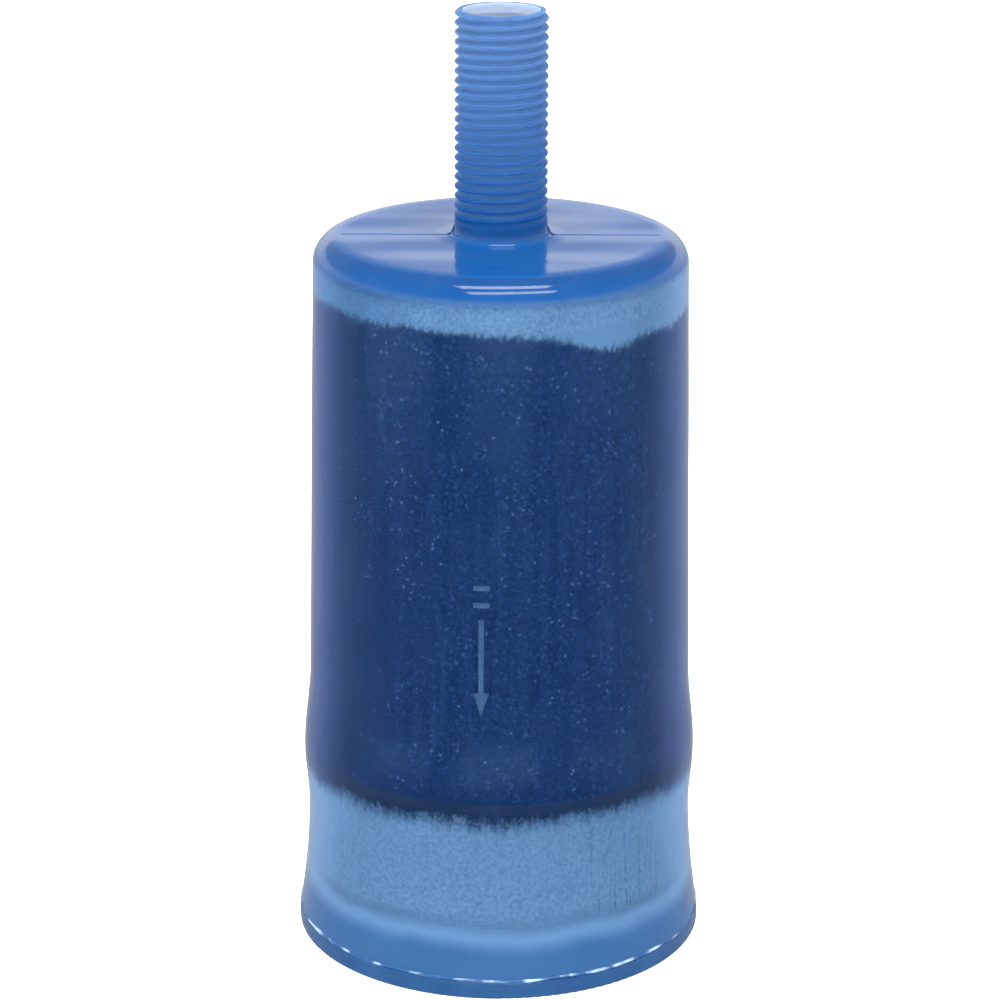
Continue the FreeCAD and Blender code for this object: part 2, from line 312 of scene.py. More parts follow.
@dataclass(frozen=True)
class BluePlastic:
    """Translucent blue polyethylene: it bends and tints light, is glossy, and glows softly.

    The thin wall takes up the shade of the packing that is pressed against it.
    """

    name: str = "blue_polyethylene"
    deep: Colour = (0.004, 0.056, 0.205, 1.0)
    # thin is the wall's random paler tone and also the painted light at the neck's end.
    thin: Colour = (0.058, 0.122, 0.262, 1.0)
    roof_face: Colour = (0.007, 0.086, 0.298, 1.0)
    dull_felt: Colour = (0.038, 0.125, 0.290, 1.0)
    over_felt: Colour = (0.074, 0.176, 0.345, 1.0)
    over_fibre: Colour = (0.001, 0.030, 0.138, 1.0)
    over_plug: Colour = (0.080, 0.175, 0.335, 1.0)
    over_cap: Colour = (0.020, 0.080, 0.205, 1.0)
    # groove is painted light for the thread's grooves.
    groove: Colour = (0.075, 0.190, 0.420, 1.0)
    groove_glow_share: float = 0.45
    # Painted light falling in at the mouth, inside the bore.
    mouth_light: Colour = (0.37, 0.45, 0.56, 1.0)
    through: Colour = (0.41, 0.72, 0.93, 1.0)
    absorption: float = 620.0
    ior: float = 1.5
    head_on_mirror: float = 0.035
    blur: float = 0.03
    body: float = 0.30
    cap: float = 0.85
    roof: float = 0.92
    roughness: float = 0.10
    roof_level: float = 104.6 * MM
    roof_full: float = 106.2 * MM
    roof_top: float = 108.7 * MM
    neck_end: float = 141.9 * MM
    # How far down the painted light in the bore reaches.
    mouth_light_depth: float = 12 * MM
    bore: float = 5.6 * MM
    crest: float = 6.83 * MM
    divider_level: float = 29.4 * MM
    cap_level: float = 8.5 * MM
    contact_reach: float = 2.2 * MM
    contact: float = 0.45
    edge_start: float = 0.36
    edge_full: float = 0.80
    edge_share: float = 0.94

    def roof_share(self, recipe: Recipe) -> Signal:
        """0 on the side, 1 on the thick roof and above it."""
        return recipe.z.step(self.roof_level, self.roof_full)

    def uneven_level(self, recipe: Recipe) -> Signal:
        """Height that wanders by a millimetre, for soft limits near the foot."""
        return recipe.z + (recipe.cloud(120.0, 3.0) - 0.5) * (2 * MM)

    def cap_share(self, recipe: Recipe) -> Signal:
        """1 where the wall is doubled by the cap's plug, with a soft top."""
        high, low = self.cap_level + 4.0 * MM, self.cap_level + 0.2 * MM
        return self.uneven_level(recipe).step(high, low)

    def foot_share(self, recipe: Recipe) -> Signal:
        """1 on the darker foot below the felt's milky shade."""
        high, low = self.cap_level + 1.6 * MM, self.cap_level - 2.0 * MM
        return self.uneven_level(recipe).step(high, low)

    def radius(self, recipe: Recipe) -> Signal:
        """Distance from the axis."""
        return recipe.math("SQRT", recipe.x * recipe.x + recipe.y * recipe.y)

    def scatter(self, recipe: Recipe) -> Signal:
        """How much of the light the wall itself scatters: more where it is seen edge on."""
        offset = (recipe.z - self.divider_level) / self.contact_reach
        pressed = math.e ** (-(offset * offset)) * self.contact
        side = self.body * (1.0 - pressed)
        side = side + self.cap_share(recipe) * (self.cap - self.body)
        side = side + self.roof_share(recipe) * (self.roof - self.body)
        weight = recipe.node("ShaderNodeLayerWeight", values={"Blend": 0.5})
        edge = Signal(recipe, weight.outputs["Facing"]).step(self.edge_start, self.edge_full)
        return side + (1.0 - side) * edge * (1.0 - pressed) * self.edge_share

    def side_shade(self, recipe: Recipe) -> bpy.types.NodeSocket:
        """Colour of the side: what the packing, the cap's plug and the foot lend it."""
        fibre = DustEdge().below(recipe) * DustFringe().above(recipe)
        dull = recipe.azimuth().step(-15.0, -45.0) * recipe.z.step(90 * MM, 95 * MM)
        felt = recipe.blend(dull, self.over_felt, self.dull_felt)
        colour = recipe.blend(fibre, felt, self.over_fibre)
        colour = recipe.blend(self.cap_share(recipe), colour, self.over_plug)
        return recipe.blend(self.foot_share(recipe), colour, self.over_cap)

    def shade(self, recipe: Recipe) -> bpy.types.NodeSocket:
        """The wall's colour, from the foot to the neck's end, with painted light up the neck and in
        the thread's grooves.
        """
        top = self.roof_top
        colour = recipe.blend(self.roof_share(recipe), self.side_shade(recipe), self.deep)
        face = recipe.z.step(top - 0.30 * MM, top - 0.05 * MM)
        face = face * recipe.z.step(top + 1.0 * MM, top + 0.3 * MM)
        colour = recipe.blend(face, colour, self.roof_face)
        # Painted light: the neck is painted paler toward its end, standing in for light shining
        # through it.
        pale = recipe.z.step(top + 2 * MM, self.neck_end)
        colour = recipe.blend(pale, colour, self.thin)
        # Painted light: the thread's grooves are painted paler, making up for the shade between the
        # crests.
        valley_glow = self.radius(recipe).step(self.crest - 0.05 * MM, self.crest - 0.50 * MM)
        valley_glow = valley_glow * recipe.z.step(top + 1.5 * MM, top + 2.5 * MM)
        return recipe.blend(valley_glow * self.groove_glow_share, colour, self.groove)

    def mouth(self, recipe: Recipe) -> Signal:
        """1 on the bore's upper end, fading out deeper down: painted light falling in at the mouth.
        """
        inside = self.radius(recipe).step(self.bore + 0.1 * MM, self.bore - 0.1 * MM)
        return inside * recipe.z.step(self.neck_end - self.mouth_light_depth, self.neck_end - 2 * MM)

    def drag_lines(self, recipe: Recipe) -> Signal:
        """Fine upright lines from the mould, strongest on the middle of the side."""
        on_side = 1.0 - self.roof_share(recipe)
        on_side = on_side * (recipe.z.step(12 * MM, 32 * MM) * 0.8 + 0.2)
        on_side = on_side * recipe.z.step(102 * MM, 92 * MM)
        return (recipe.cloud(1.0, 3.0, recipe.stretched(1700, 1700, 22)) - 0.5) * on_side

    def glossy_skin(
        self, recipe: Recipe, colour: bpy.types.NodeSocket, drag: Signal, haze: Signal
    ) -> bpy.types.NodeSocket:
        """Gloss over the milky side and roof, with faint sink marks."""
        sinks = recipe.cloud(1.0, 1.0, recipe.stretched(28, 60, 28))
        lines = {"Height": drag, "Strength": 0.10, "Distance": 0.2 * MM}
        lines["Normal"] = recipe.bump(sinks, 0.16, 2.0 * MM)
        return recipe.surface({
            "Base Color": colour,
            "Roughness": drag * 0.08 + haze * 0.06 + (self.roughness - 0.03),
            "IOR": self.ior,
            "Normal": recipe.node("ShaderNodeBump", values=lines).outputs[0],
        })

    def frosted_neck(
        self, recipe: Recipe, colour: bpy.types.NodeSocket, haze: Signal
    ) -> bpy.types.NodeSocket:
        """Dull, softly glowing surface of the neck."""
        return recipe.surface({
            "Base Color": colour,
            "Roughness": haze * 0.1 + 0.33,
            "Specular IOR Level": 0.05,
            "Subsurface Weight": 0.8,
            "Subsurface Radius": (0.7, 0.9, 1.2),
            "Subsurface Scale": 1.8 * MM,
        })

    def clear_wall(self, recipe: Recipe) -> bpy.types.NodeSocket:
        """The part of the light that is bent through the wall or mirrored by it."""
        white = (1, 1, 1, 1)
        bent = recipe.node(
            "ShaderNodeBsdfRefraction",
            values={"Color": white, "Roughness": self.blur, "IOR": self.ior},
        )
        mirror = recipe.node(
            "ShaderNodeBsdfAnisotropic", values={"Color": white, "Roughness": self.roughness}
        )
        fresnel = recipe.node("ShaderNodeFresnel", values={"IOR": self.ior})
        grazing = Signal(recipe, fresnel.outputs[0]) - self.head_on_mirror
        return recipe.mix(
            grazing / (1 - self.head_on_mirror), bent.outputs[0], mirror.outputs[0]
        )

    def build(self) -> bpy.types.Material:
        """Make the material."""
        recipe = Recipe(self.name)
        haze = recipe.cloud(120.0, 3.0)
        drag = self.drag_lines(recipe)
        tone = (haze - 0.5) * 0.25 + drag * 0.5 + 0.05
        colour = recipe.blend(tone, self.shade(recipe), self.thin)
        # Painted light inside the bore, paler toward the mouth.
        colour = recipe.blend(self.mouth(recipe), colour, self.mouth_light)
        neck = recipe.z.step(self.roof_top + 1 * MM, self.roof_top + 3 * MM)
        skin = self.glossy_skin(recipe, colour, drag, haze)
        milky = recipe.mix(neck, skin, self.frosted_neck(recipe, colour, haze))
        share = self.scatter(recipe) + drag * 0.24 + (haze - 0.5) * 0.06
        tint = recipe.node(
            "ShaderNodeVolumeAbsorption",
            values={"Color": self.through, "Density": self.absorption},
        )
        return recipe.finish(recipe.mix(share, self.clear_wall(recipe), milky), tint.outputs[0])


@dataclass(frozen=True)
class CapPlastic:
    """The same blue polyethylene in the thick cap, where little light comes through."""

    name: str = "blue_cap_polyethylene"
    deep: Colour = (0.004, 0.040, 0.125, 1.0)
    milky: Colour = (0.012, 0.066, 0.175, 1.0)

    def build(self) -> bpy.types.Material:
        """Make the material."""
        recipe = Recipe(self.name)
        haze = recipe.cloud(140.0, 4.0)
        scuffs = recipe.cloud(1.0, 3.0, recipe.stretched(200, 200, 1500))
        cap = recipe.surface({
            "Base Color": recipe.blend((haze - 0.5) * 1.4 + 0.4, self.deep, self.milky),
            "Roughness": scuffs * 0.2 + 0.15,
            "Normal": recipe.bump(scuffs, 0.15, 0.15 * MM),
        })
        return recipe.finish(cap)


@dataclass(frozen=True)
class WhiteFelt:
    """Pale needled felt, clean or stained by dust from the packing."""

    name: str
    fibre: Colour = (0.84, 0.89, 0.94, 1.0)
    shade: Colour = (0.46, 0.55, 0.66, 1.0)
    dust: Colour = (0.016, 0.017, 0.020, 1.0)
    dull: Colour = (0.30, 0.42, 0.58, 1.0)
    tuft_scale: float = 1900.0
    under_divider: bool = False
    under_roof: bool = False
    streaked: bool = False

    def stain(self, recipe: Recipe) -> Any:
        """Share of dust over the felt's side."""
        share: Any = 0.0
        if self.under_roof:
            share = DustEdge().below(recipe)
        if self.under_divider:
            share = DustFringe().above(recipe)
        if self.streaked:
            share = share + self.streaks(recipe)
        return share

    def streaks(self, recipe: Recipe) -> Signal:
        """Upright drags of dust on the right of the front, low down."""
        azimuth = recipe.azimuth()
        sideways = azimuth.step(10.0, 30.0) * azimuth.step(62.0, 50.0)
        level = recipe.z + (recipe.cloud(180.0, 2.0) - 0.5) * (14 * MM)
        upright = level.step(9 * MM, 12 * MM) * level.step(27 * MM, 17 * MM)
        lines = recipe.cloud(1.0, 4.0, recipe.wound(0.85, 60.0))
        specks = recipe.cloud(1800.0, 2.0).step(0.35, 0.60)
        return lines.step(0.53, 0.66) * specks * sideways * upright

    def build(self) -> bpy.types.Material:
        """Make the material."""
        recipe = Recipe(self.name)
        tufts = recipe.cloud(self.tuft_scale, 4.0)
        mottle = recipe.cloud(130.0, 4.0)
        flecks = recipe.grains(1100.0)
        lightness = (tufts - 0.5) * 3.6 + (mottle - 0.5) * 1.0 + 0.62
        body = recipe.blend(lightness, self.shade, self.fibre)
        if self.under_roof:
            dull = recipe.azimuth().step(-18.0, -48.0) * 0.55
            body = recipe.blend(dull, body, self.dull)
        colour = recipe.blend(self.stain(recipe), body, self.dust)
        felt = recipe.surface({
            "Base Color": colour,
            "Roughness": 0.95,
            "Specular IOR Level": 0.1,
            "Sheen Weight": 0.3,
            "Normal": recipe.bump(tufts * 0.6 + flecks * 0.4, 0.8, 0.5 * MM),
        })
        return recipe.finish(felt)


@dataclass(frozen=True)
class DarkFibre:
    """Dark wound fibre, grainy, with pale lint and upright drag lines."""

    name: str = "dark_fibre"
    ground: Colour = (0.006, 0.014, 0.030, 1.0)
    grain: Colour = (0.024, 0.053, 0.108, 1.0)
    fleck: Colour = (0.13, 0.23, 0.38, 1.0)
    lint: Colour = (0.45, 0.52, 0.62, 1.0)
    felt: Colour = (0.66, 0.73, 0.81, 1.0)
    grit_scale: float = 1900.0
    speck_scale: float = 850.0
    fleck_scale: float = 1300.0

    def scattered(
        self, recipe: Recipe, scale: float, size: Point, patch_scale: float, patches: Point
    ) -> Signal:
        """Dots of uneven size that lie in loose patches.

        Args:
            recipe: The material's recipe.
            scale: Dots per metre.
            size: Distances from a dot's middle where it ends and where it is full, in cells.
            patch_scale: Patches per metre.
            patches: Noise values where a patch starts and where it is full.

        Returns:
            1 on a dot and 0 between the dots.
        """
        return recipe.grains(scale).step(*size) * recipe.cloud(patch_scale, 2.0).step(*patches)

    def build(self) -> bpy.types.Material:
        """Make the material."""
        recipe = Recipe(self.name)
        grit = recipe.cloud(self.grit_scale, 4.0)
        patches = recipe.cloud(70.0, 3.0)
        drag = recipe.cloud(1.0, 3.0, recipe.stretched(1500, 1500, 30))
        specks = self.scattered(recipe, self.speck_scale, (0.26, 0.10), 260.0, (0.46, 0.62))
        lightness = (grit - 0.5) * 4.0 + (patches - 0.5) * 0.4 + (drag - 0.5) * 0.7 + 0.35
        body = recipe.blend(lightness, self.ground, self.grain)
        small = self.scattered(recipe, self.fleck_scale, (0.38, 0.14), 400.0, (0.32, 0.60))
        body = recipe.blend(small * 0.58, body, self.fleck)
        flecked = recipe.blend(specks * 0.55, body, self.lint)
        colour = recipe.blend(DustEdge().below(recipe), self.felt, flecked)
        fibre = recipe.surface({
            "Base Color": colour,
            "Roughness": 0.9,
            "Specular IOR Level": 0.15,
            "Normal": recipe.bump(grit, 0.7, 0.4 * MM),
        })
        return recipe.finish(fibre)


@dataclass(frozen=True)
class WeldFlash:
    """Whitened flash squeezed out of the seam."""

    name: str = "weld_flash"
    blue: Colour = (0.012, 0.070, 0.210, 1.0)
    white: Colour = (0.32, 0.46, 0.66, 1.0)

    def build(self) -> bpy.types.Material:
        """Make the material."""
        recipe = Recipe(self.name)
        patches = recipe.cloud(260.0, 4.0)
        colour = recipe.blend(patches.step(0.46, 0.62), self.blue, self.white)
        flash = recipe.surface({
            "Base Color": colour,
            "Roughness": patches * 0.3 + 0.3,
            "Normal": recipe.bump(recipe.cloud(900.0, 3.0), 0.4, 0.3 * MM),
        })
        return recipe.finish(flash)


@dataclass(frozen=True)
class MouldedPlastic:
    """Plain moulded plastic for the parts inside."""

    name: str
    light: Colour
    dark: Colour
    roughness: float = 0.5

    def build(self) -> bpy.types.Material:
        """Make the material."""
        recipe = Recipe(self.name)
        cloud = recipe.cloud(300.0, 3.0)
        grain = recipe.cloud(2500.0, 2.0)
        plastic = recipe.surface({
            "Base Color": recipe.blend(cloud, self.dark, self.light),
            "Roughness": grain * 0.15 + (self.roughness - 0.07),
            "Normal": recipe.bump(grain, 0.2, 0.1 * MM),
        })
        return recipe.finish(plastic)


@dataclass(frozen=True)
class SpringSteel:
    """Bright rolled steel for the lock ring."""

    name: str = "spring_steel"
    light: Colour = (0.62, 0.63, 0.65, 1.0)
    dark: Colour = (0.42, 0.43, 0.45, 1.0)

    def build(self) -> bpy.types.Material:
        """Make the material."""
        recipe = Recipe(self.name)
        rolled = recipe.cloud(1.0, 3.0, recipe.stretched(300, 4000, 300))
        steel = recipe.surface({
            "Base Color": recipe.blend(rolled, self.dark, self.light),
            "Metallic": 1.0,
            "Roughness": rolled * 0.2 + 0.2,
        })
        return recipe.finish(steel)


@dataclass(frozen=True)
class FloorPaint:
    """Pale matt studio floor."""

    name: str = "studio_floor"
    pale: Colour = (0.90, 0.90, 0.90, 1.0)
    grey: Colour = (0.87, 0.87, 0.87, 1.0)

    def build(self) -> bpy.types.Material:
        """Make the material."""
        recipe = Recipe(self.name)
        paint = recipe.surface({
            "Base Color": recipe.blend(recipe.cloud(8.0, 3.0), self.grey, self.pale),
            "Roughness": recipe.cloud(30.0, 2.0) * 0.1 + 0.7,
            "Specular IOR Level": 0.2,
            "Emission Color": (1, 1, 1, 1),
            "Emission Strength": 0.85,
        })
        return recipe.finish(paint)


# ---------------------------------------------------------------- modelling


def deselect_all() -> None:
    """Leave edit mode and select nothing."""
    if bpy.context.object and bpy.context.object.mode != "OBJECT":
        bpy.ops.object.mode_set(mode="OBJECT")
    bpy.ops.object.select_all(action="DESELECT")


def spin_outline(name: str, outline: list[Point], steps: int, closed: bool) -> bpy.types.Object:
    """Turn an outline about the Z axis.

    Args:
        name: The piece's name.
        outline: (radius, height) points in order.
        steps: Divisions of the full turn.
        closed: True where the last point joins the first.

    Returns:
        The turned piece, with its seam and poles merged and its normals outward.
    """
    deselect_all()
    bpy.ops.mesh.primitive_plane_add(size=MM, location=(0, 0, 0))
    piece = bpy.context.object
    piece.name = name
    bpy.ops.object.mode_set(mode="EDIT")
    bpy.ops.mesh.select_all(action="SELECT")
    bpy.ops.mesh.merge(type="CENTER")
    bpy.ops.transform.translate(value=(outline[0][0], 0, outline[0][1]))
    route = outline[1:] + (outline[:1] if closed else [])
    last = outline[0]
    for point in route:
        step = (point[0] - last[0], 0, point[1] - last[1])
        bpy.ops.mesh.extrude_region_move(TRANSFORM_OT_translate={"value": step})
        last = point
    bpy.ops.mesh.select_all(action="SELECT")
    bpy.ops.mesh.spin(steps=steps, angle=2 * math.pi, center=(0, 0, 0), axis=(0, 0, 1))
    bpy.ops.mesh.select_all(action="SELECT")
    bpy.ops.mesh.remove_doubles(threshold=2e-6)
    bpy.ops.mesh.normals_make_consistent(inside=False)
    bpy.ops.object.mode_set(mode="OBJECT")
    return piece


def move_vertices(piece: bpy.types.Object, rule: Callable[[np.ndarray], np.ndarray]) -> None:
    """Move all vertices of a piece by a rule on their coordinates, one row each."""
    mesh = piece.data
    flat = np.empty(len(mesh.vertices) * 3)
    mesh.vertices.foreach_get("co", flat)
    mesh.vertices.foreach_set("co", rule(flat.reshape(-1, 3)).ravel())
    mesh.update()


def smooth(piece: bpy.types.Object, angle_deg: float = 35.0) -> None:
    """Smooth shading, with edges sharper than the angle kept."""
    deselect_all()
    piece.select_set(True)
    bpy.context.view_layer.objects.active = piece
    bpy.ops.object.shade_smooth_by_angle(angle=math.radians(angle_deg))


def bevel(piece: bpy.types.Object, width: float, segments: int = 2) -> None:
    """Round a piece's edges with an applied Bevel modifier."""
    deselect_all()
    piece.select_set(True)
    bpy.context.view_layer.objects.active = piece
    modifier = piece.modifiers.new("edge_round", "BEVEL")
    modifier.width = width
    modifier.segments = segments
    modifier.limit_method = "ANGLE"
    bpy.ops.object.modifier_apply(modifier=modifier.name)


def join(name: str, pieces: list[bpy.types.Object]) -> bpy.types.Object:
    """Make several pieces one named piece."""
    deselect_all()
    for piece in pieces:
        piece.select_set(True)
    bpy.context.view_layer.objects.active = pieces[0]
    bpy.ops.object.join()
    joined = bpy.context.object
    joined.name = name
    return joined


def dress(piece: bpy.types.Object, material: bpy.types.Material) -> None:
    """Give a piece one material."""
    piece.data.materials.clear()
    piece.data.materials.append(material)


def install(piece: bpy.types.Object, slot: str, *nodes: str) -> None:
    """Let a finished piece stand for CAD nodes and ride on the body."""
    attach(piece, ROOT)
    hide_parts(*nodes)
    LOG.info("%s: %d faces", piece.name, len(piece.data.polygons))


def arc(centre: Point, radius: float, start_deg: float, end_deg: float, count: int) -> list[Point]:
    """Points along an arc in the outline plane, both ends included."""
    angles = np.radians(np.linspace(start_deg, end_deg, count))
    return [(centre[0] + radius * math.cos(a), centre[1] + radius * math.sin(a)) for a in angles]


def line(start: Point, end: Point, count: int) -> list[Point]:
    """Evenly spaced points from start, leaving out the end."""
    shares = [index / count for index in range(count)]
    return [
        (start[0] + (end[0] - start[0]) * share, start[1] + (end[1] - start[1]) * share)
        for share in shares
    ]


def wander(point: Vector, scale: float, seed: float) -> float:
    """Smooth random value from -1 to 1 at a point, in cells of 1/scale metres."""
    return noise.noise(point * scale + Vector((seed, seed * 1.7, seed * 2.3)))


# ---------------------------------------------------------------- the housing


@dataclass
class SideShape:
    """Outside radius of the housing's side: draft, foot flare, waist and bulge."""

    roof_radius: float = 27.56 * MM
    draft: float = math.tan(math.radians(1.07))
    roof: float = 108.7 * MM
    seam: float = 2.9 * MM
    flare: float = 1.2 * MM
    flare_height: float = 15.5 * MM
    flare_power: float = 1.7
    divider: float = 29.4 * MM
    bulge: float = 0.78 * MM
    bulge_above: float = 12.5 * MM
    bulge_below: float = 10.0 * MM

    def radius(self, z: float) -> float:
        """Outside radius at a height."""
        straight = self.roof_radius + (self.roof - z) * self.draft
        up = max(0.0, 1 - (z - self.seam) / self.flare_height)
        flare = self.flare * up**self.flare_power
        offset = z - self.divider
        reach = self.bulge_above if offset > 0 else self.bulge_below
        swell = 0.0
        if abs(offset) < reach:
            swell = self.bulge * math.cos(math.pi / 2 * offset / reach) ** 2
        return straight + flare + swell


@dataclass
class Housing:
    """The moulded housing with its threaded neck, flow arrow and mould marks."""

    side: SideShape = field(default_factory=SideShape)
    wall: float = 1.5 * MM
    roof_wall: float = 3.0 * MM
    shoulder: float = 3.8 * MM
    boss_radius: float = 8.6 * MM
    boss_bottom: float = 97.7 * MM
    socket_radius: float = 6.55 * MM
    socket_top: float = 107.2 * MM
    bore: float = 5.2 * MM
    mouth: float = 5.5 * MM
    mouth_depth: float = 0.9 * MM
    mouth_chamfer: float = 0.3 * MM
    mouth_edge: float = 0.12 * MM
    bore_start: float = 1.6 * MM
    neck_top: float = 141.9 * MM
    rim_round: float = 0.4 * MM
    crest: float = 6.83 * MM
    thread_depth: float = 0.66 * MM
    pitch: float = 25.4 / 18 * MM
    thread_foot: float = 110.4 * MM
    thread_fade: float = 2.2
    groove_curve: float = 1.15
    collar_foot: float = 7.25 * MM
    collar_height: float = 1.7 * MM
    collar_curve: float = 2.6
    neck_fillet: float = 0.55 * MM
    rows_per_turn: int = 13
    steps: int = 144
    wander_scale: float = 60.0
    wander_reach: float = 0.05 * MM
    wander_top: float = 102.7 * MM

    def outline(self) -> list[Point]:
        """Closed outline of the wall, from the seam up the outside and down the inside."""
        side = self.side
        roof = side.roof
        seam = side.seam
        corner_z = roof - self.shoulder
        corner_x = side.radius(corner_z) - self.shoulder
        lower = np.linspace(seam, side.divider + side.bulge_above, 44)
        upper = np.linspace(side.divider + side.bulge_above, corner_z, 14)[1:-1]
        points = [(side.radius(z), z) for z in [*lower, *upper]]
        points += arc((corner_x, corner_z), self.shoulder, 0, 90, 12)
        points += line((corner_x - MM, roof), (self.collar_foot + MM, roof), 8)
        points += self.neck_outline()
        inner_roof = roof - self.roof_wall
        inner = self.shoulder - self.wall
        inner_x = side.radius(inner_roof - inner) - self.wall - inner
        points += line((self.boss_radius, inner_roof), (inner_x, inner_roof), 4)
        points += arc((inner_x, inner_roof - inner), inner, 90, 0, 8)
        points += [(side.radius(z) - self.wall, z) for z in [*upper[::-1], *lower[::-1]]]
        return points

    def neck_outline(self) -> list[Point]:
        """The collar, thread, rim, bore and tube socket."""
        roof = self.side.roof
        top = self.neck_top
        edge = self.rim_round
        thread_end = top - edge
        rows = round((thread_end - self.thread_foot) / self.pitch * self.rows_per_turn)
        flare = self.collar_foot - self.crest
        collar = [
            (self.crest + flare * (1 - share) ** self.collar_curve, roof + self.collar_height * share)
            for share in np.linspace(0, 1, 10)
        ]
        fillet = self.neck_fillet
        centre = (self.collar_foot + fillet, roof + fillet)
        points = arc(centre, fillet, 270, 180, 6)
        points += [point for point in collar if point[1] > roof + fillet]
        points += line((self.crest, self.thread_foot), (self.crest, thread_end), rows)
        points += arc((self.crest - edge, thread_end), edge, 0, 90, 5)
        points += [
            (self.mouth + self.mouth_edge, top),
            (self.mouth, top - self.mouth_edge),
            (self.mouth, top - self.mouth_depth),
            (self.bore, top - self.mouth_depth - self.mouth_chamfer),
        ]
        points += line((self.bore, top - self.bore_start), (self.bore, self.socket_top), 12)
        points += [
            (self.bore, self.socket_top),
            (self.socket_radius, self.socket_top),
            (self.socket_radius, self.boss_bottom),
            (self.boss_radius, self.boss_bottom),
        ]
        return points

    def cut_thread(self, points: np.ndarray) -> np.ndarray:
        """Sink a right-hand helical groove into the outside of the neck."""
        x, y, z = points.T
        radius = np.hypot(x, y)
        turn = np.arctan2(y, x) / (2 * np.pi)
        phase = (z - self.thread_foot) / self.pitch - turn
        wave = 0.5 + 0.5 * np.cos(2 * np.pi * phase)
        start = np.clip((z - self.thread_foot) / (self.thread_fade * self.pitch), 0, 1)
        groove = self.thread_depth * wave**self.groove_curve * start * start * (3 - 2 * start)
        outside = (z > self.thread_foot) & (radius > self.crest - 1.01 * self.rim_round)
        outside &= z < self.neck_top - 0.05 * self.rim_round
        depth = np.where(outside, groove, 0.0)
        scale = (radius - depth) / np.maximum(radius, 1e-9)
        return np.column_stack([x * scale, y * scale, z])

    def uneven(self, points: np.ndarray) -> np.ndarray:
        """Let the thin side wander a few hundredths, as a moulded wall does."""
        moved = points.copy()
        for row in moved:
            if row[2] < self.wander_top:
                amount = wander(Vector(row), self.wander_scale, 3.0) * self.wander_reach
                reach = math.hypot(row[0], row[1])
                row[0] *= 1 + amount / reach
                row[1] *= 1 + amount / reach
        return moved

    def build_shell(self, material: bpy.types.Material) -> bpy.types.Object:
        """Spin the wall and cut its thread."""
        piece = spin_outline("housing", self.outline(), self.steps, True)
        move_vertices(piece, self.cut_thread)
        move_vertices(piece, self.uneven)
        smooth(piece, 50.0)
        dress(piece, material)
        install(piece, "blue_housing", "shell")
        return piece

    def build(self) -> None:
        """Build and dress the housing and its marks."""
        plastic = BluePlastic().build()
        self.build_shell(plastic)
        # Painted highlight: the raised arrow gets a paler, milkier copy of the blue plastic, standing
        # in for light on its edges.
        raised = BluePlastic(
            name="blue_mark_painted_highlight", body=0.5, over_fibre=(0.030, 0.085, 0.200, 1.0)
        ).build()
        FlowArrow(self.side).build(raised)
        PartingMarks(self).build(plastic)


@dataclass
class FlowArrow:
    """Raised arrow on the front that points the way the air runs, with two ticks above it."""

    side: SideShape
    azimuth: float = math.radians(-5.3)
    top: float = 64.2 * MM
    length: float = 19.6 * MM
    rise: float = 0.2 * MM
    sink: float = 0.3 * MM
    depth: float = 1.0 * MM
    shaft: float = 0.8 * MM
    head: float = 2.4 * MM
    head_length: float = 3.2 * MM
    blunt: float = 0.12
    tick: float = 0.8 * MM
    tick_pitch: float = 2.6 * MM
    ticks: int = 2
    edge: float = 0.08 * MM

    def bar(self, width: float, low: float, high: float) -> bpy.types.Object:
        """An upright block in front of the wall."""
        deselect_all()
        bpy.ops.mesh.primitive_cube_add(size=1, location=(0, 0, 0))
        piece = bpy.context.object
        bpy.ops.object.mode_set(mode="EDIT")
        bpy.ops.mesh.select_all(action="SELECT")
        bpy.ops.transform.resize(value=(width, self.depth, high - low))
        bpy.ops.mesh.subdivide(number_cuts=1)
        bpy.ops.transform.translate(value=(0, 0, (high + low) / 2))
        bpy.ops.object.mode_set(mode="OBJECT")
        return piece

    def point_head(self, tip: float) -> bpy.types.Object:
        """The arrow's head: a block drawn to a point at its lower end."""
        piece = self.bar(self.head, tip, tip + self.head_length)
        length = self.head_length

        def taper(points: np.ndarray) -> np.ndarray:
            """Narrow the block toward its tip."""
            share = np.clip((points[:, 2] - tip) / length, self.blunt, 1)
            return np.column_stack([points[:, 0] * share, points[:, 1], points[:, 2]])

        move_vertices(piece, taper)
        return piece

    def wrap(self, points: np.ndarray) -> np.ndarray:
        """Lay the blocks on the curved side and turn them to their azimuth."""
        out = points.copy()
        for row in out:
            proud = (0.5 - row[1] / self.depth) * (self.rise + self.sink) - self.sink
            reach = self.side.radius(row[2]) + proud
            angle = self.azimuth + row[0] / reach
            row[0] = reach * math.sin(angle)
            row[1] = -reach * math.cos(angle)
        return out

    def build(self, material: bpy.types.Material) -> None:
        """Build and dress the arrow."""
        tip = self.top - self.length
        blocks = [
            self.point_head(tip),
            self.bar(self.shaft, tip + self.head_length, self.top - self.ticks * self.tick_pitch),
        ]
        for index in range(self.ticks):
            high = self.top - index * self.tick_pitch
            blocks.append(self.bar(self.head, high - self.tick, high))
        arrow = join("flow_arrow", blocks)
        move_vertices(arrow, self.wrap)
        bevel(arrow, self.edge)
        smooth(arrow)
        dress(arrow, material)
        install(arrow, "blue_housing", "shell")


